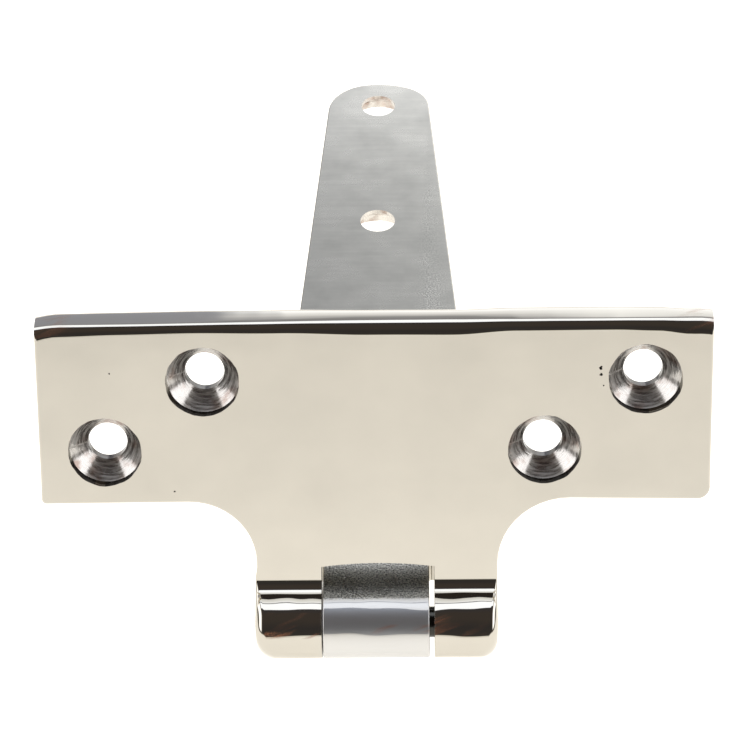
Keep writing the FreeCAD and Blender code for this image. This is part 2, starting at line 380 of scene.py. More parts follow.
def lathe(bm, profile, place, steps=96, wobble=None):
    """Turn a profile of radius and height pairs about the Z axis of a place, closed at both ends."""
    rings = []
    for radius, height in profile:
        ring = []
        for i in range(steps):
            a = 2 * pi * i / steps
            r = radius + (wobble(a, radius) if wobble else 0.0)
            ring.append(bm.verts.new(place @ Vector((r * cos(a), r * sin(a), height))))
        rings.append(ring)
    close_rings(bm, rings)


def add_object(name, data):
    """Put an object with the given data in the scene."""
    thing = bpy.data.objects.new(name, data)
    bpy.context.collection.objects.link(thing)
    return thing


def cutter(name, build):
    """A mesh object to cut with, filled by build."""
    bm = bmesh.new()
    build(bm)
    return bpy.data.objects.new(name, closed_mesh(bm, name))


def subtract(piece, tools):
    """Cut each tool out of a piece and drop the tools."""
    before = len(piece.data.vertices)
    for tool in tools:
        bpy.context.collection.objects.link(tool)
        cut = piece.modifiers.new("cut", "BOOLEAN")
        cut.operation = "DIFFERENCE"
        cut.solver = "EXACT"
        cut.object = tool
    bake_modifiers(piece)
    if len(piece.data.vertices) == before:
        raise RuntimeError("cutting " + piece.name + " with " + tools[0].name + " changed nothing")
    for tool in tools:
        bpy.data.objects.remove(tool)


def bake_modifiers(piece):
    """Apply a piece's modifiers to its mesh."""
    graph = bpy.context.evaluated_depsgraph_get()
    mesh = bpy.data.meshes.new_from_object(piece.evaluated_get(graph))
    piece.modifiers.clear()
    piece.data = mesh


def screw_cutter(name, size, x, y, front, seed, drift=(0.0, 0.0)):
    """The shape of a countersunk hole: straight wall, narrow ledge and step, cone, shank hole.

    drift is how far the straight wall's centre lies from the cone's, in x and y.
    """
    step, ledge = 0.14, 0.02
    cone = size.head_radius - ledge - step
    floor = front - size.head_depth
    throat = floor - (cone - SCREW_RADIUS) * tan(radians(90) - size.cone_angle / 2)
    profile = [(SCREW_RADIUS, -size.barrel_radius - 1), (SCREW_RADIUS, throat), (cone, floor),
               (cone + step, floor + step), (size.head_radius, floor + step),
               (size.head_radius, front + 1)]

    def uneven(angle, radius):
        toward = drift[0] * cos(angle) + drift[1] * sin(angle)
        if radius < SCREW_RADIUS + 0.01:
            return 0.0
        if radius < size.head_radius - 0.01:
            return 0.5 * toward
        around = Vector((2.6 * cos(angle), 2.6 * sin(angle), seed))
        return 0.12 * noise.noise(around) + 0.05 * noise.noise(around * 3) + toward
    return cutter(name, lambda bm: lathe(bm, profile, Matrix.Translation((x, y, 0)), wobble=uneven))


def pit_cutter(name, x, y, front, radius, seed):
    """A small ragged casting pit in the front."""
    depth = 1.1 * radius
    profile = [(0.1 * radius, front - depth), (0.7 * radius, front - 0.6 * depth),
               (radius, front), (radius, front + 1)]

    def ragged(angle, at):
        around = Vector((1.3 * cos(angle), 1.3 * sin(angle), seed))
        return 0.9 * at * noise.noise(around)
    place = Matrix.Translation((x, y, 0))
    return cutter(name, lambda bm: lathe(bm, profile, place, steps=20, wobble=ragged))


def bore_cutter(name, radius, reach):
    """A round bar along the pin axis."""
    profile = [(radius, -reach), (radius, reach)]
    return cutter(name, lambda bm: lathe(bm, profile, ALONG_PIN))


def slot_cutter(name, size):
    """The slot for the centre knuckle, with its slightly arched top."""
    half = (size.slot_right - size.slot_left) / 2
    middle = (size.slot_right + size.slot_left) / 2
    radius = (half ** 2 + size.slot_arch ** 2) / (2 * size.slot_arch)
    spread = asin(half / radius)
    centre = Vector((middle, size.slot_edge + size.slot_arch - radius))
    top = arc(centre, radius, pi / 2 - spread, pi / 2 + spread, radians(1.5))
    below = -size.barrel_radius - 2
    loop = [Vector((size.slot_left, below)), Vector((size.slot_right, below))] + top
    reach = size.barrel_radius + 2

    def build(bm):
        close_rings(bm, [[bm.verts.new((p.x, p.y, z)) for p in loop] for z in (-reach, reach)])
    return cutter(name, build)


def soften_slot(piece, size):
    """Round the slot's edges, where the polishing wheel ran over them."""
    softness = 0.16
    bm = bmesh.new()
    bm.from_mesh(piece.data)
    edges = []
    for edge in bm.edges:
        ends = [v.co for v in edge.verts]
        on_wall = any(all(abs(p.x - wall) < 1e-3 for p in ends)
                      for wall in (size.slot_left, size.slot_right))
        outside = all(p.z > -size.barrel_radius + 0.01 for p in ends)
        if on_wall and outside and edge.is_manifold and edge.calc_face_angle(0) > 0.7:
            edges.append(edge)
    bmesh.ops.bevel(bm, geom=edges, offset=softness, segments=3, profile=0.5, affect="EDGES",
                    clamp_overlap=True)
    bm.to_mesh(piece.data)
    bm.free()


def mark_surfaces(mesh, size, thickness, holes, smear_start, smear_end):
    """Sort the faces by how they were finished, and note where each corner lies on its finish.

    polish is 1 on polished metal and 0 on the ground back. cast is 1 where the skin of the casting
    was left, beside the barrel. turn_radius and turn_angle are the place on a countersink, round
    its own axis, and wall is 1 on straight walls and in casting pits, where the turned steel gets
    painted shade. smear is 1 between two angles round the barrel, where brown streaks are a painted
    reflection of a warm bar, and lower at the ends of the top edge, where it gives a brown tint.
    """
    front = thickness - size.barrel_radius
    polish_end, polish_fade = 266.0, 9.0
    barrel_top, skin_top, skin_fade = 8, 11.0, 2.5
    pit_area, pit_depth, wall_slope = 0.05, 0.35, 0.3
    top_smear, top_smear_start, top_smear_fade = 0.4, 44, 3
    notes = {name: [0.0] * len(mesh.loops)
             for name in ("polish", "cast", "barrel", "smear", "turn_radius", "turn_angle", "wall")}
    for face in mesh.polygons:
        centre, normal = face.center, face.normal
        hole = min(holes, key=lambda h: (centre.x - h.x) ** 2 + (centre.y - h.y) ** 2)
        from_axis = hypot(centre.x - hole.x, centre.y - hole.y)
        slanting = abs(normal.z) < 0.9
        in_hole = from_axis < size.head_radius + 0.4 and slanting and centre.y > barrel_top
        in_pit = (slanting and face.area < pit_area and centre.z > front - pit_depth
                  and from_axis > size.head_radius + 0.5
                  and abs(centre.x) < size.plate_width / 2 - 2
                  and size.wing_bottom + 0.6 < centre.y < size.plate_height - 3)
        on_back = normal.z < -0.99 and centre.z < 0.02 - size.barrel_radius
        sawn = abs(normal.x) > 0.98 and abs(centre.x) < 9.5 and centre.y < 10
        face.material_index = 1 if in_hole or in_pit else 0
        for corner in face.loop_indices:
            point = mesh.vertices[mesh.loops[corner].vertex_index].co
            around = degrees(atan2(point.z, point.y)) % 360
            on_barrel = hypot(point.y, point.z) < size.barrel_radius + 0.05
            notes["polish"][corner] = 0.0 if on_back or sawn else 1.0
            if on_barrel and not sawn:
                notes["polish"][corner] = clamp(0.5 + (polish_end - around) / polish_fade)
            notes["cast"][corner] = 1.0 if sawn else clamp((skin_top - point.y) / skin_fade)
            notes["barrel"][corner] = 1.0 if on_barrel else 0.0
            # Painted reflection: the window round the barrel where brown streaks stand for a warm bar
            # seen in the mirror.
            if centre.y < barrel_top and abs(point.x) < size.barrel_length / 2 - 1.5:
                inside = min(around - smear_start, smear_end - around)
                notes["smear"][corner] = clamp(inside / 5)
            if centre.y > size.plate_height - 2.5 and normal.z < 0.98 and abs(normal.x) < 0.5:
                outside = (abs(point.x) - top_smear_start) / top_smear_fade
                notes["smear"][corner] = top_smear * clamp(outside)
            across, along = point.x - hole.x, point.y - hole.y
            notes["turn_radius"][corner] = hypot(across, along)
            notes["turn_angle"][corner] = atan2(along, across)
            # Straight walls and pits are marked here for the painted shade of the turned steel.
            notes["wall"][corner] = 1.0 if abs(normal.z) < wall_slope or in_pit else 0.0
    for name, values in notes.items():
        mesh.attributes.new(name, "FLOAT", "CORNER").data.foreach_set("value", values)


def smooth(piece, sharp_degrees=32):
    """Shade smooth but for sharp edges, with the normals of the larger faces kept true."""
    mesh = piece.data
    mesh.shade_smooth()
    bm = bmesh.new()
    bm.from_mesh(mesh)
    for edge in bm.edges:
        edge.smooth = edge.is_manifold and edge.calc_face_angle(0) < radians(sharp_degrees)
    bm.to_mesh(mesh)
    bm.free()
    weighted = piece.modifiers.new("weighted", "WEIGHTED_NORMAL")
    weighted.mode = "FACE_AREA"
    weighted.weight = 100
    weighted.keep_sharp = True
    bake_modifiers(piece)


def finish_piece(piece, place, materials, node):
    """Move a piece to its place, give it its materials and tie it to the frame."""
    body = body_of_node(node)
    piece.data.transform(place)
    for material in materials:
        piece.data.materials.append(material)
    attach(piece, body)
    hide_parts(node)


def to_place(turn):
    """From a leaf's own frame in millimetres to the row's frame in metres."""
    return Matrix.Translation(PIN) @ turn @ Matrix.Scale(MM, 4)


def body_of_node(node):
    """The name of the body that a node belongs to."""
    return next(name for name, nodes in frame["record"]["behaviour"]["bodies"].items()
                if node in nodes)


# ---- materials

def cast_stainless(colours, name, knuckle_haze):
    """Cast stainless steel, buffed to a mirror on the front and ground on the back.

    The eye sees a warm, clean mirror with a faint waviness from the buffing wheel, stronger on
    the barrel, a few brown streaks round the barrel that are a painted reflection of a warm bar,
    a grainy dark casting skin beside it, and on the back a soft grey sheen with blotches and
    faint marks across the leaf, lighter towards the strap's tip as painted sheen.
    knuckle_haze is how much of the barrel's shine is scattered by a coarser finish.
    """
    material, tree = new_material(name)
    place = add_node(tree, "TexCoord").outputs["Object"]
    along = add_node(tree, "SeparateXYZ", {0: place}).outputs["Y"]
    polish, cast, barrel, smear = [
        add_node(tree, "Attribute", attribute_name=note).outputs["Fac"]
        for note in ("polish", "cast", "barrel", "smear")]
    lie = add_node(tree, "Mapping", {"Vector": place, "Rotation": (radians(-45), 0.0, 0.0)})
    slanted = add_node(tree, "Mapping", {
        "Vector": lie, "Rotation": (0.0, 0.0, radians(20)), "Scale": (6.0, 0.8, 1.0)},
        vector_type="TEXTURE")
    crosswise = add_node(tree, "Mapping", {
        "Vector": place, "Scale": (8.0, 0.62, 1.0)}, vector_type="TEXTURE")

    pattern = {}
    for word, where, spacing_mm, detail in (
            ("waves", place, 7.0, 1.0), ("clouds", place, 11.0, 4.0), ("smears", slanted, 1.7, 3.0),
            ("blotches", place, 7.0, 4.0), ("marks", crosswise, 1.4, 3.0),
            ("skin", place, 0.28, 4.0), ("grains", place, 0.3, 3.0)):
        pattern[word] = add_node(tree, "TexNoise", {
            "Vector": where, "Scale": 1 / (spacing_mm * MM), "Detail": detail})
    level = {}
    for word, source, low, high, at_low, at_high in (
            ("wave_height", barrel, 0.0, 1.0, 0.035 * MM, 0.5 * MM),
            ("cloud_tone", pattern["clouds"], 0.3, 0.7, 0.955, 1.015),
            ("smear", pattern["smears"], 0.52, 0.64, 0.0, 0.6),
            ("blotch_tone", pattern["blotches"], 0.3, 0.7, 0.8, 1.06),
            ("ground_roughness", pattern["blotches"], 0.3, 0.7, 0.34, 0.24),
            ("mark_tone", pattern["marks"], 0.3, 0.7, 0.95, 1.03),
            ("speckle", pattern["skin"], 0.35, 0.65, 0.34, 1.63),
            ("to_tip", along, -0.03, 0.055, 0.0, 1.0),
            ("any_polish", polish, 0.0, 0.05, 0.0, 1.0),
            ("full_polish", polish, 0.95, 1.0, 0.0, 1.0)):
        level[word] = add_node(tree, "MapRange", {
            "Value": source, "From Min": low, "From Max": high, "To Min": at_low, "To Max": at_high})

    mirror_bump = add_node(tree, "Bump", {
        "Height": pattern["waves"], "Strength": 1.0, "Distance": level["wave_height"]})
    mirror_colour = add_node(tree, "Mix", {
        "Factor": 1.0, "A": linear(colours.polished), "B": level["cloud_tone"]}, **TINTED)
    shine = add_node(tree, "BsdfPrincipled", {
        "Base Color": mirror_colour, "Metallic": 1.0, "Roughness": 0.03, "Normal": mirror_bump})

    if knuckle_haze:
        line_mm = 0.3
        drawn_lines = add_node(tree, "Mapping", {
            "Vector": place, "Scale": (1.0, 8.0, 8.0)}, vector_type="TEXTURE")
        lines = add_node(tree, "TexNoise", {
            "Vector": drawn_lines, "Scale": 1 / (line_mm * MM), "Detail": 3.0})
        haze_bump = add_node(tree, "Bump", {
            "Height": lines, "Strength": 0.6, "Distance": 0.02 * MM})
        haze = add_node(tree, "BsdfPrincipled", {
            "Base Color": linear(colours.haze), "Metallic": 1.0, "Roughness": 0.45,
            "Normal": haze_bump})
        haze_share = add_node(tree, "Math", {0: barrel, 1: knuckle_haze}, operation="MULTIPLY")
        shine = add_node(tree, "MixShader", {"Fac": haze_share, 1: shine, 2: haze})

    # Painted reflection: brown streaks of a warm bar in the dark band round the barrel, and a brown
    # tint at the ends of the top edge.
    smeared = add_node(tree, "Math", {0: level["smear"], 1: smear}, operation="MULTIPLY")
    painted_warm_streak = add_node(tree, "BsdfPrincipled", {
        "Base Color": linear(colours.painted_warm_streak), "Metallic": 1.0, "Roughness": 0.5})
    front = add_node(tree, "MixShader", {"Fac": smeared, 1: shine, 2: painted_warm_streak})

    # Painted sheen: the ground back is made lighter the further it lies towards the strap's tip, for
    # the brighter reflection there.
    to_tip_cubed = add_node(tree, "Math", {0: level["to_tip"], 1: 3.0}, operation="POWER")
    painted_tip_sheen = add_node(tree, "MapRange", {"Value": to_tip_cubed, "To Min": 1.06, "To Max": 2.0})
    both_tones = add_node(tree, "Math", {
        0: level["blotch_tone"], 1: level["mark_tone"]}, operation="MULTIPLY")
    tone = add_node(tree, "Math", {0: both_tones, 1: painted_tip_sheen}, operation="MULTIPLY")
    ground_tone = add_node(tree, "Mix", {
        "Factor": cast, "A": tone, "B": level["speckle"]}, data_type="FLOAT")
    ground_colour = add_node(tree, "Mix", {
        "Factor": 1.0, "A": linear(colours.ground), "B": ground_tone}, **TINTED)
    ground_bump = add_node(tree, "Bump", {
        "Height": pattern["marks"], "Strength": 0.4, "Distance": 0.02 * MM})
    skin_bump = add_node(tree, "Bump", {
        "Height": pattern["skin"], "Strength": cast, "Distance": 0.07 * MM, "Normal": ground_bump})
    ground = add_node(tree, "BsdfPrincipled", {
        "Base Color": ground_colour, "Metallic": 1.0, "Roughness": level["ground_roughness"],
        "Normal": skin_bump})

    ragged = add_node(tree, "Math", {
        0: pattern["grains"], 1: 1.8, 2: -0.9}, operation="MULTIPLY_ADD")
    ragged_polish = add_node(tree, "Math", {0: polish, 1: ragged}, operation="ADD")
    edge = add_node(tree, "MapRange", {
        "Value": ragged_polish, "From Min": 0.38, "From Max": 0.62})
    held_low = add_node(tree, "Math", {0: edge, 1: level["any_polish"]}, operation="MULTIPLY")
    polished = add_node(tree, "Math", {0: held_low, 1: level["full_polish"]}, operation="MAXIMUM")
    surface = add_node(tree, "MixShader", {"Fac": polished, 1: ground, 2: front})
    add_node(tree, "OutputMaterial", {"Surface": surface})
    return material


def turned_stainless(colours, name, wall_shade):
    """Stainless steel turned by the countersinking tool.

    The eye sees fine rings round each hole that catch the light in streaks, brown in places.
    wall_shade is how much painted shade darkens the straight walls and casting pits against the cone;
    above zero it lightens them as painted light.
    """
    material, tree = new_material(name)
    place = add_node(tree, "TexCoord").outputs["Object"]
    radius, angle, wall = [
        add_node(tree, "Attribute", attribute_name=note).outputs["Fac"]
        for note in ("turn_radius", "turn_angle", "wall")]
    ring_mm, stain_mm = 0.32, 2.4
    half_angle = add_node(tree, "Math", {0: angle, 1: 0.5}, operation="MULTIPLY")
    spot = add_node(tree, "CombineXYZ", {"X": radius, "Y": half_angle})
    rings = add_node(tree, "TexNoise", {"Vector": spot, "Scale": 1 / ring_mm, "Detail": 3.0})
    stains = add_node(tree, "TexNoise", {
        "Vector": place, "Scale": 1 / (stain_mm * MM), "Detail": 4.0})
    ring_tone, stain_share, torn = [
        add_node(tree, "MapRange", {
            "Value": source, "From Min": low, "From Max": high, "To Min": at_low, "To Max": at_high})
        for source, low, high, at_low, at_high in (
            (rings, 0.35, 0.65, 0.72, 1.1), (stains, 0.5, 0.68, 0.0, 0.75),
            (rings, 0.4, 0.6, 0.15, 0.6))]
    bump = add_node(tree, "Bump", {"Height": rings, "Strength": 1.0, "Distance": 0.02 * MM})
    # Painted shade: the straight walls and casting pits are darkened by wall_shade for the shade
    # inside them.
    wall_tone = add_node(tree, "Math", {0: wall, 1: wall_shade, 2: 1.0}, operation="MULTIPLY_ADD")
    tone = add_node(tree, "Math", {0: ring_tone, 1: wall_tone}, operation="MULTIPLY")
    clean, brown = [
        add_node(tree, "Mix", {"Factor": 1.0, "A": linear(colour), "B": tone}, **TINTED)
        for colour in (colours.turned, colours.stain)]
    stained = add_node(tree, "Mix", {
        "Factor": stain_share, "A": clean, "B": brown}, data_type="RGBA")
    smooth_steel, torn_steel = [
        add_node(tree, "BsdfPrincipled", {
            "Base Color": stained, "Metallic": 1.0, "Roughness": roughness, "Normal": bump})
        for roughness in (0.12, 0.45)]
    steel = add_node(tree, "MixShader", {"Fac": torn, 1: smooth_steel, 2: torn_steel})
    add_node(tree, "OutputMaterial", {"Surface": steel})
    return material


def pin_steel(colours):
    """Drawn stainless bar: grey, with faint lengthwise streaks, darkened in the middle by painted
    shade for the gaps between knuckles.

    The eye sees a clean domed end, and a dark bar in the gaps.
    """
    material, tree = new_material("drawn_stainless_bar")
    place = add_node(tree, "TexCoord").outputs["Object"]
    streak_mm = 0.25
    drawn_streaks = add_node(tree, "Mapping", {
        "Vector": place, "Scale": (20.0, 1.0, 1.0)}, vector_type="TEXTURE")
    streaks = add_node(tree, "TexNoise", {
        "Vector": drawn_streaks, "Scale": 1 / (streak_mm * MM), "Detail": 3.0})
    along = add_node(tree, "SeparateXYZ", {0: place}).outputs["X"]
    from_middle = add_node(tree, "Math", {0: along}, operation="ABSOLUTE")
    # Painted shade: the bar is dark in the middle, where it shows only in the shaded gaps between the
    # knuckles.
    gap_shade_tone = add_node(tree, "MapRange", {
        "Value": from_middle, "From Min": 0.012, "From Max": 0.015, "To Min": 0.12, "To Max": 1.0})
    colour = add_node(tree, "Mix", {
        "Factor": 1.0, "A": linear(colours.ground), "B": gap_shade_tone}, **TINTED)
    roughness = add_node(tree, "MapRange", {
        "Value": streaks, "From Min": 0.3, "From Max": 0.7, "To Min": 0.1, "To Max": 0.3})
    steel = add_node(tree, "BsdfPrincipled", {
        "Base Color": colour, "Metallic": 1.0, "Roughness": roughness})
    add_node(tree, "OutputMaterial", {"Surface": steel})
    return material


# ---- operators

class HINGE_OT_cross_plate(bpy.types.Operator):
    """Model the cross plate with its two outer knuckles"""
    bl_idname = "hinge.cross_plate"
    bl_label = "Cross plate"

    def execute(self, context):
        size, colours = context.scene.hinge_sizes, context.scene.hinge_colours
        outline = plate_outline(size)
        foot = outline[0].y
        soft = 0.25

        def end_radius(point, angle, side):
            if point.x > foot - 1e-4:
                return soft
            lower = clamp((angle - 80) / 60)
            barrel_end = 1.5 + 1.4 * lower if side < 0 else 1.25 + 1.2 * lower
            rise = min(1.0, (foot - point.x) / 4) if angle < 100 else 1.0
            fall = clamp((270 - angle) / 50)
            share = ease(rise * fall)
            return soft * (1 - share) + barrel_end * share
        mesh = leaf_shell("cross_plate_metal", size, outline, size.plate_thickness,
                          lambda point: soft + 0.15 * clamp(point.y - 22),
                          lambda point: soft, end_radius)
        piece = add_object("cross_plate_metal", mesh)
        front = size.plate_thickness - size.barrel_radius
        holes = plate_holes(size)
        drift_out, drift_down = 0.2, -0.34
        pits = [(33.7, 41.4, 0.26), (33.75, 40.4, 0.24), (34.1, 38.6, 0.12), (-39.2, 41.1, 0.13),
                (-30.1, 21.9, 0.14), (12.5, 33.0, 0.08)]
        subtract(piece, [slot_cutter("slot", size)])
        soften_slot(piece, size)
        subtract(piece, [top_cutter("top", size, front)])
        subtract(piece, [
            screw_cutter("screw", size, hole.x, hole.y, front, number,
                         drift=(copysign(drift_out, hole.x), drift_down))
            for number, hole in enumerate(holes)] + [
            pit_cutter("pit", x, y, front, radius, number)
            for number, (x, y, radius) in enumerate(pits)])
        subtract(piece, [bore_cutter("bore", size.pin_radius + 0.01, size.barrel_length)])
        mark_surfaces(piece.data, size, size.plate_thickness, holes, smear_start=48, smear_end=92)
        smooth(piece)
        finish_piece(piece, to_place(Matrix.Rotation(FOLD, 4, "X")),
                     [cast_stainless(colours, "cast_stainless_mirror_buffed", knuckle_haze=0.0),
                      turned_stainless(colours, "turned_stainless_painted_shade_walls", wall_shade=-0.8)],
                     "cross_plate")
        return {"FINISHED"}


def top_line(size, x):
    """Height of the hand-finished top edge, which climbs from the left and droops at its ends."""
    climb = ease(clamp((x + 45) / 50))
    droop_left, droop_right = clamp((-46 - x) / 5), clamp((x - 48) / 3)
    return (size.plate_height + 0.35 + 0.45 * climb
            - 0.5 * droop_left ** 2 - 0.3 * droop_right ** 2)


def top_cutter(name, size, front):
    """What the buffing wheel took off the top edge: a round front, a low crown, a soft back."""
    reach = size.plate_width / 2 + 2
    back = front - size.plate_thickness
    stations = [-reach + 2 * reach * i / 90 for i in range(91)]
    front_turn, back_turn, over = radians(18), radians(-3), radians(1.5)

    def build(bm):
        rings = []
        for x in stations:
            wheel = top_rounding(x)
            heel = 0.72 * wheel
            depth = size.plate_thickness - wheel * (1 - sin(front_turn))
            crown = depth - heel * (1 + sin(back_turn))
            crown /= sin(front_turn) - sin(back_turn)
            at_front, at_back = [Vector((cos(a), sin(a))) for a in (front_turn, back_turn)]
            wheel_centre = Vector((top_line(size, x) - wheel, front - wheel))
            crown_centre = wheel_centre + (wheel - crown) * at_front
            heel_centre = crown_centre + (crown - heel) * at_back
            curve = arc(heel_centre, heel, -pi / 2 - over, back_turn, radians(6))[:-1]
            curve += arc(crown_centre, crown, back_turn, front_turn, radians(1.5))[:-1]
            curve += arc(wheel_centre, wheel, front_turn, pi / 2 + over, radians(4))
            high = wheel_centre.x + wheel + 4
            curve += [Vector((wheel_centre.x - 0.3, front + 2)), Vector((high, front + 2)),
                      Vector((high, back - 2)), Vector((heel_centre.x - 0.3, back - 2))]
            rings.append([bm.verts.new((x, p.x, p.y)) for p in curve])
        close_rings(bm, rings)
    return cutter(name, build)


def top_rounding(x):
    """How far the buffing wheel rounded the top edge, which varies along the plate."""
    stops = [(-51, 2.4), (-47, 2.0), (-38, 1.75), (-28, 1.65), (-14, 1.95), (0, 2.45), (12, 2.55),
             (21, 1.95), (36, 1.9), (42, 2.1), (47, 2.7), (51, 2.7)]
    x = min(max(x, stops[0][0]), stops[-1][0])
    for (left, low), (right, high) in zip(stops, stops[1:]):
        if x <= right:
            return low + (high - low) * ease((x - left) / (right - left))


def plate_outline(size):
    """The cross plate's edge, from the right of the barrel round to its left.

    The top is left high, to be cut down along its hand-finished line. Each corner lies a little
    off its drawn place, because the casting is uneven.
    """
    foot = section(size, size.plate_thickness)[0][0].x
    right, left = size.plate_width / 2 + 0.28, -size.plate_width / 2 - 0.13
    spare = 1.0
    barrel_left = -size.barrel_length / 2
    neck_right, neck_left = size.barrel_length / 2 + 0.12, barrel_left + 0.28
    wing = size.wing_bottom
    return rounded_path([
        (Vector((neck_right, foot)), 0), (Vector((neck_right, wing + 0.06)), size.neck_radius + 0.8),
        (Vector((right, wing - 0.46)), 1.9), (Vector((right, top_line(size, right) + spare)), 0.7),
        (Vector((left, top_line(size, left) + spare)), 0.7),
        (Vector((left, wing - 0.54)), 0.7), (Vector((neck_left, wing - 0.33)), size.neck_radius),
        (Vector((neck_left, foot + 1.9)), 3), (Vector((barrel_left, foot)), 0)])


def plate_holes(size):
    """Centres of the cross plate's holes, worked out from the two pairs of the frame."""
    turn = Matrix.Rotation(-FOLD, 3, "X")
    middle = turn @ (Vector(MOUNTS["plate_outer_screws"]["pos_m"]) - PIN) / MM
    top_inset, bottom_inset = 8.55, 8.2
    stagger = size.plate_height - top_inset - (size.wing_bottom + bottom_inset)
    holes = []
    for mount, lift in (("plate_outer_screws", 1), ("plate_inner_screws", -1)):
        spread = sqrt(MOUNTS[mount]["dims"]["pcd_mm"] ** 2 - stagger ** 2) / 2
        for side in (-1, 1):
            holes.append(Vector((side * spread, middle.y + side * lift * stagger / 2)))
    return holes


def strap_side(size, side, tip_corner):
    """One side of the strap's edge from the knuckle to the tip; side is 1 right or -1 left."""
    tongue, root, tip = size.knuckle_width / 2, size.strap_root_width / 2, size.strap_tip_width / 2
    if side < 0:
        wider_left = 0.25
        root += wider_left
        tip += wider_left
    foot = section(size, size.strap_thickness)[0][0].x
    drop = size.tip_radius - sqrt(size.tip_radius ** 2 - tip ** 2)
    shoulder = Vector((root, size.shoulder))
    corner = Vector((tip, size.strap_length - drop))
    along_side = (corner - shoulder).normalized()
    inward = Vector((-along_side.y, along_side.x))
    apex = Vector((0, size.strap_length - size.tip_radius))
    start = shoulder + inward * tip_corner
    gap = size.tip_radius - tip_corner
    along = (apex - start).dot(along_side)
    away = (apex - start - along_side * along).length
    centre = start + along_side * (along + sqrt(gap ** 2 - away ** 2))
    first = atan2(-inward.y, -inward.x)
    meet = atan2(centre.y - apex.y, centre.x - apex.x)
    points = rounded_path([(Vector((tongue, foot)), 0), (Vector((tongue, size.shoulder)), 0.5),
                           (shoulder, 0.6), (centre - inward * tip_corner, 0)])[:-1]
    points += arc(centre, tip_corner, first, meet)[:-1]
    points += arc(apex, size.tip_radius, meet, pi / 2)[:-1]
    return [Vector((side * p.x, p.y)) for p in points]


def strap_outline(size):
    """The strap's edge from the right of the knuckle, round the tip, to its left.

    The strap lies face down, so its right-hand side here is the viewer's left.
    """
    right = strap_side(size, 1, size.tip_corner + 2.0)
    left = strap_side(size, -1, size.tip_corner - 0.2)
    return right + [Vector((0, size.strap_length))] + left[::-1]


class HINGE_OT_strap(bpy.types.Operator):
    """Model the strap with its centre knuckle"""
    bl_idname = "hinge.strap"
    bl_label = "Strap"

    def execute(self, context):
        size, colours = context.scene.hinge_sizes, context.scene.hinge_colours
        soft_front, soft_back, soft_knuckle = 0.3, 0.2, 0.2
        first_seed = 9
        front = size.strap_thickness - size.barrel_radius
        mesh = leaf_shell("strap_metal", size, strap_outline(size), size.strap_thickness,
                          lambda point: soft_front, lambda point: soft_back,
                          lambda point, angle, side: soft_knuckle)
        piece = add_object("strap_metal", mesh)
        middle = -PIN.y / MM
        holes = [Vector((0, middle + HOLE_ROW * (i / (STRAP_HOLES - 1) - 0.5)))
                 for i in range(STRAP_HOLES)]
        subtract(piece, [screw_cutter("screw", size, hole.x, hole.y, front, seed)
                         for seed, hole in enumerate(holes, first_seed)])
        subtract(piece, [bore_cutter("bore", size.pin_radius + size.running_clearance,
                                     size.knuckle_width)])
        mark_surfaces(piece.data, size, size.strap_thickness, holes, smear_start=206, smear_end=222)
        smooth(piece)
        finish_piece(piece, to_place(Matrix.Rotation(pi, 4, "Y")),
                     [cast_stainless(colours, "cast_stainless_half_buffed", knuckle_haze=0.5),
                      turned_stainless(colours, "turned_stainless", wall_shade=0.1)],
                     "strap")
        return {"FINISHED"}


class HINGE_OT_pin(bpy.types.Operator):
    """Model the pin with its domed ends"""
    bl_idname = "hinge.pin"
    bl_label = "Pin"

    def execute(self, context):
        size, colours = context.scene.hinge_sizes, context.scene.hinge_colours
        half = size.barrel_length / 2
        dome = (size.pin_radius ** 2 + size.pin_proud ** 2) / (2 * size.pin_proud)
        rise = [0.02, 0.3, 0.6, 0.85, 1.0]
        profile = []
        for share in rise:
            radius = share * size.pin_radius
            profile.append((radius, half + size.pin_proud - dome
                            + sqrt(dome ** 2 - radius ** 2)))
        profile = [(radius, -height) for radius, height in profile] + profile[::-1]
        bm = bmesh.new()
        lathe(bm, profile, ALONG_PIN)
        piece = add_object("pin_metal", closed_mesh(bm, "pin_metal"))
        smooth(piece)
        finish_piece(piece, to_place(Matrix.Rotation(FOLD, 4, "X")), [pin_steel(colours)],
                     "hinge_pin")
        return {"FINISHED"}


class HINGE_OT_stage(bpy.types.Operator):
    """Set up the pale floor, the studio light and the camera"""
    bl_idname = "hinge.stage"
    bl_label = "Stage"

    def execute(self, context):
        scene = context.scene
        scene.view_settings.view_transform = "Standard"
        make_floor(scene.hinge_colours)
        make_softbox()
        make_surroundings(context)
        make_camera(context)
        return {"FINISHED"}


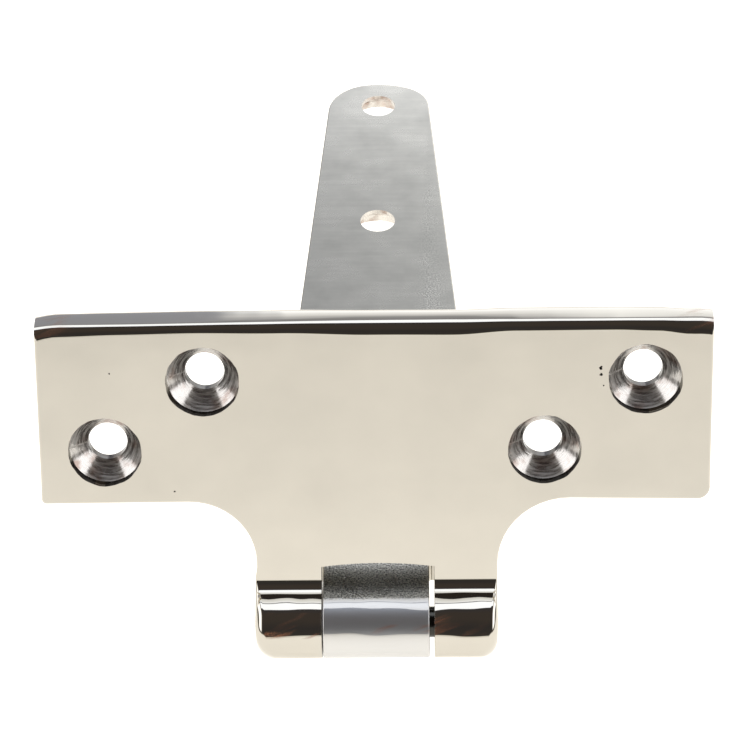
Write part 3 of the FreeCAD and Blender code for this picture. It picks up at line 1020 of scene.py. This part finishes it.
def make_floor(colours):
    """A wide pale floor under the barrel that glows as painted light, brightest near the hinge, so
    that shadows hardly show.
    """
    gap, reach = 0.0002, 6.0
    low = cad_low.z - gap
    corners = [(-reach, -reach, low), (reach, -reach, low), (reach, reach, low), (-reach, reach, low)]
    mesh = bpy.data.meshes.new("floor")
    mesh.from_pydata(corners, [], [(0, 1, 2, 3)])
    floor = add_object("floor", mesh)
    material, tree = new_material("pale_floor_painted_glow")
    place = add_node(tree, "TexCoord").outputs["Object"]
    away = add_node(tree, "VectorMath", {0: place}, operation="LENGTH")
    # Painted light: the floor glows, brighter round the hinge and fading far off, so no shadow shows
    # on it.
    near_glow, far_fade = [
        add_node(tree, "MapRange", {
            "Value": away, "From Min": near, "From Max": far, "To Min": at_near, "To Max": at_far})
        for near, far, at_near, at_far in ((0.08, 0.4, 1.15, 0.93), (0.4, 1.6, 1.0, 0.86))]
    glow = add_node(tree, "Math", {0: near_glow, 1: far_fade}, operation="MULTIPLY")
    sheet = add_node(tree, "BsdfPrincipled", {
        "Base Color": linear(colours.floor_shade), "Roughness": 0.9, "Specular IOR Level": 0.0,
        "Emission Color": linear(colours.floor), "Emission Strength": glow})
    add_node(tree, "OutputMaterial", {"Surface": sheet})
    mesh.materials.append(material)


def make_softbox():
    """A wide softbox overhead, from just in front of the hinge to well behind it."""
    height, front, back = 3.0, -0.035, 1.09
    light = bpy.data.lights.new("softbox", "AREA")
    light.shape = "RECTANGLE"
    light.size = 4.1
    light.size_y = back - front
    brightness = 1.7
    light.energy = brightness * pi * light.size * light.size_y
    light.color = (0.86, 0.92, 1.03)
    lamp = add_object("softbox", light)
    lamp.location = (0, PIN.y + (front + back) / 2, PIN.z + height)
    lamp.visible_camera = False


def make_surroundings(context):
    """A studio all round: a pale wall behind, dark above the viewer, and a card at each side."""
    world = bpy.data.worlds.new("studio")
    context.scene.world = world
    world.use_nodes = True
    tree = world.node_tree
    tree.nodes.clear()
    way = add_node(tree, "TexCoord").outputs["Generated"]
    parts = add_node(tree, "SeparateXYZ", {0: way}).outputs
    turn = add_node(tree, "Math", {0: parts["Z"], 1: parts["Y"]}, operation="ARCTAN2")
    share = add_node(tree, "Math", {0: turn, 1: pi}, operation="DIVIDE")
    sideways = add_node(tree, "Math", {0: parts["X"]}, operation="ABSOLUTE")

    left_grey = (0.47, 0.49, 0.57, 1)
    right_white = (1.75, 1.8, 1.9, 1)
    side_dark = (0.16, 0.145, 0.13, 1)
    dark = (0.07, 0.058, 0.051, 1)
    cream = (1.2, 1.17, 1.08, 1)
    bands = add_node(tree, "ValToRGB", {"Fac": share})
    set_ramp(bands.color_ramp, [
        (0.0, (0.88, 0.9, 0.95, 1)), (0.14, (1.28, 1.3, 1.36, 1)), (0.17, (0.98, 1.0, 1.06, 1)),
        (0.24, (0.52, 0.53, 0.57, 1)), (0.30, (0.42, 0.43, 0.47, 1)), (0.50, (0.4, 0.4, 0.43, 1)),
        (0.515, (0.06, 0.055, 0.06, 1)), (0.60, dark), (0.72, dark), (0.85, (0.05, 0.045, 0.045, 1)),
        (0.974, (0.06, 0.055, 0.05, 1)), (0.985, cream), (1.0, cream)])

    part = {}
    for word, source, low, high, at_high in (
            ("across", parts["X"], -0.07, -0.045, 1.0), ("above_low", share, 0.05, 0.14, 1.0),
            ("left", parts["X"], -0.045, -0.07, 1.0), ("right", parts["X"], 0.02, 0.06, 0.75),
            ("below_softbox", share, 0.36, 0.30, 1.0), ("to_side", sideways, 0.45, 0.6, 1.0),
            ("card", sideways, 0.62, 0.68, 1.0), ("card_end", sideways, 0.96, 0.93, 1.0),
            ("raised", parts["Z"], 0.12, 0.2, 2.2)):
        part[word] = add_node(tree, "MapRange", {
            "Value": source, "From Min": low, "From Max": high, "To Min": 0.0, "To Max": at_high})
    screened, lightened, card_width = [
        add_node(tree, "Math", {0: part[one], 1: part[other]}, operation="MULTIPLY")
        for one, other in (("left", "below_softbox"), ("right", "below_softbox"),
                           ("card", "card_end"))]
    card_strength = add_node(tree, "Math", {0: card_width, 1: part["raised"]}, operation="MULTIPLY")

    room = left_grey
    for amount, colour in ((part["across"], right_white), (part["above_low"], bands),
                           (screened, left_grey), (lightened, right_white),
                           (part["to_side"], side_dark)):
        room = add_node(tree, "Mix", {"Factor": amount, "A": room, "B": colour}, data_type="RGBA")
    room_light = add_node(tree, "Background", {"Color": room})
    card_light = add_node(tree, "Background", {
        "Color": (0.95, 0.96, 1.0, 1), "Strength": card_strength})
    both = add_node(tree, "AddShader", {0: room_light, 1: card_light})
    plain = add_node(tree, "Background", {"Color": (1.1, 1.1, 1.1, 1)})
    to_camera = add_node(tree, "LightPath").outputs["Is Camera Ray"]
    seen = add_node(tree, "MixShader", {"Fac": to_camera, 1: both, 2: plain})
    add_node(tree, "OutputWorld", {"Surface": seen})


def make_camera(context):
    """A long lens from the front, as far above the hinge as in front of it."""
    camera = bpy.data.cameras.new("camera")
    camera.lens = 170.5
    camera.sensor_width = 36.0
    viewer = add_object("camera", camera)
    viewer.location = (0.0059, -0.4584, 0.3785)
    viewer.rotation_euler = [radians(a) for a in (48.948, 0.719, 0.194)]
    context.scene.camera = viewer


class HINGE_PT_sidebar(bpy.types.Panel):
    """Lists the hinge's operators"""
    bl_idname = "HINGE_PT_sidebar"
    bl_label = "T hinge"
    bl_space_type = "VIEW_3D"
    bl_region_type = "UI"
    bl_category = "Hinge"

    def draw(self, context):
        for operator in OPERATORS:
            self.layout.operator(operator.bl_idname)
        for group in (context.scene.hinge_sizes, context.scene.hinge_colours):
            for name in group.__annotations__:
                self.layout.prop(group, name)


OPERATORS = (HINGE_OT_stage, HINGE_OT_cross_plate, HINGE_OT_strap, HINGE_OT_pin)
CLASSES = (HingeSizes, HingeColours) + OPERATORS + (HINGE_PT_sidebar,)


def register():
    for entry in CLASSES:
        bpy.utils.register_class(entry)
    bpy.types.Scene.hinge_sizes = PointerProperty(type=HingeSizes)
    bpy.types.Scene.hinge_colours = PointerProperty(type=HingeColours)


def unregister():
    del bpy.types.Scene.hinge_colours
    del bpy.types.Scene.hinge_sizes
    for entry in reversed(CLASSES):
        bpy.utils.unregister_class(entry)


def main():
    register()
    bpy.ops.hinge.stage()
    bpy.ops.hinge.cross_plate()
    bpy.ops.hinge.strap()
    bpy.ops.hinge.pin()


if __name__ == "__main__":
    main()
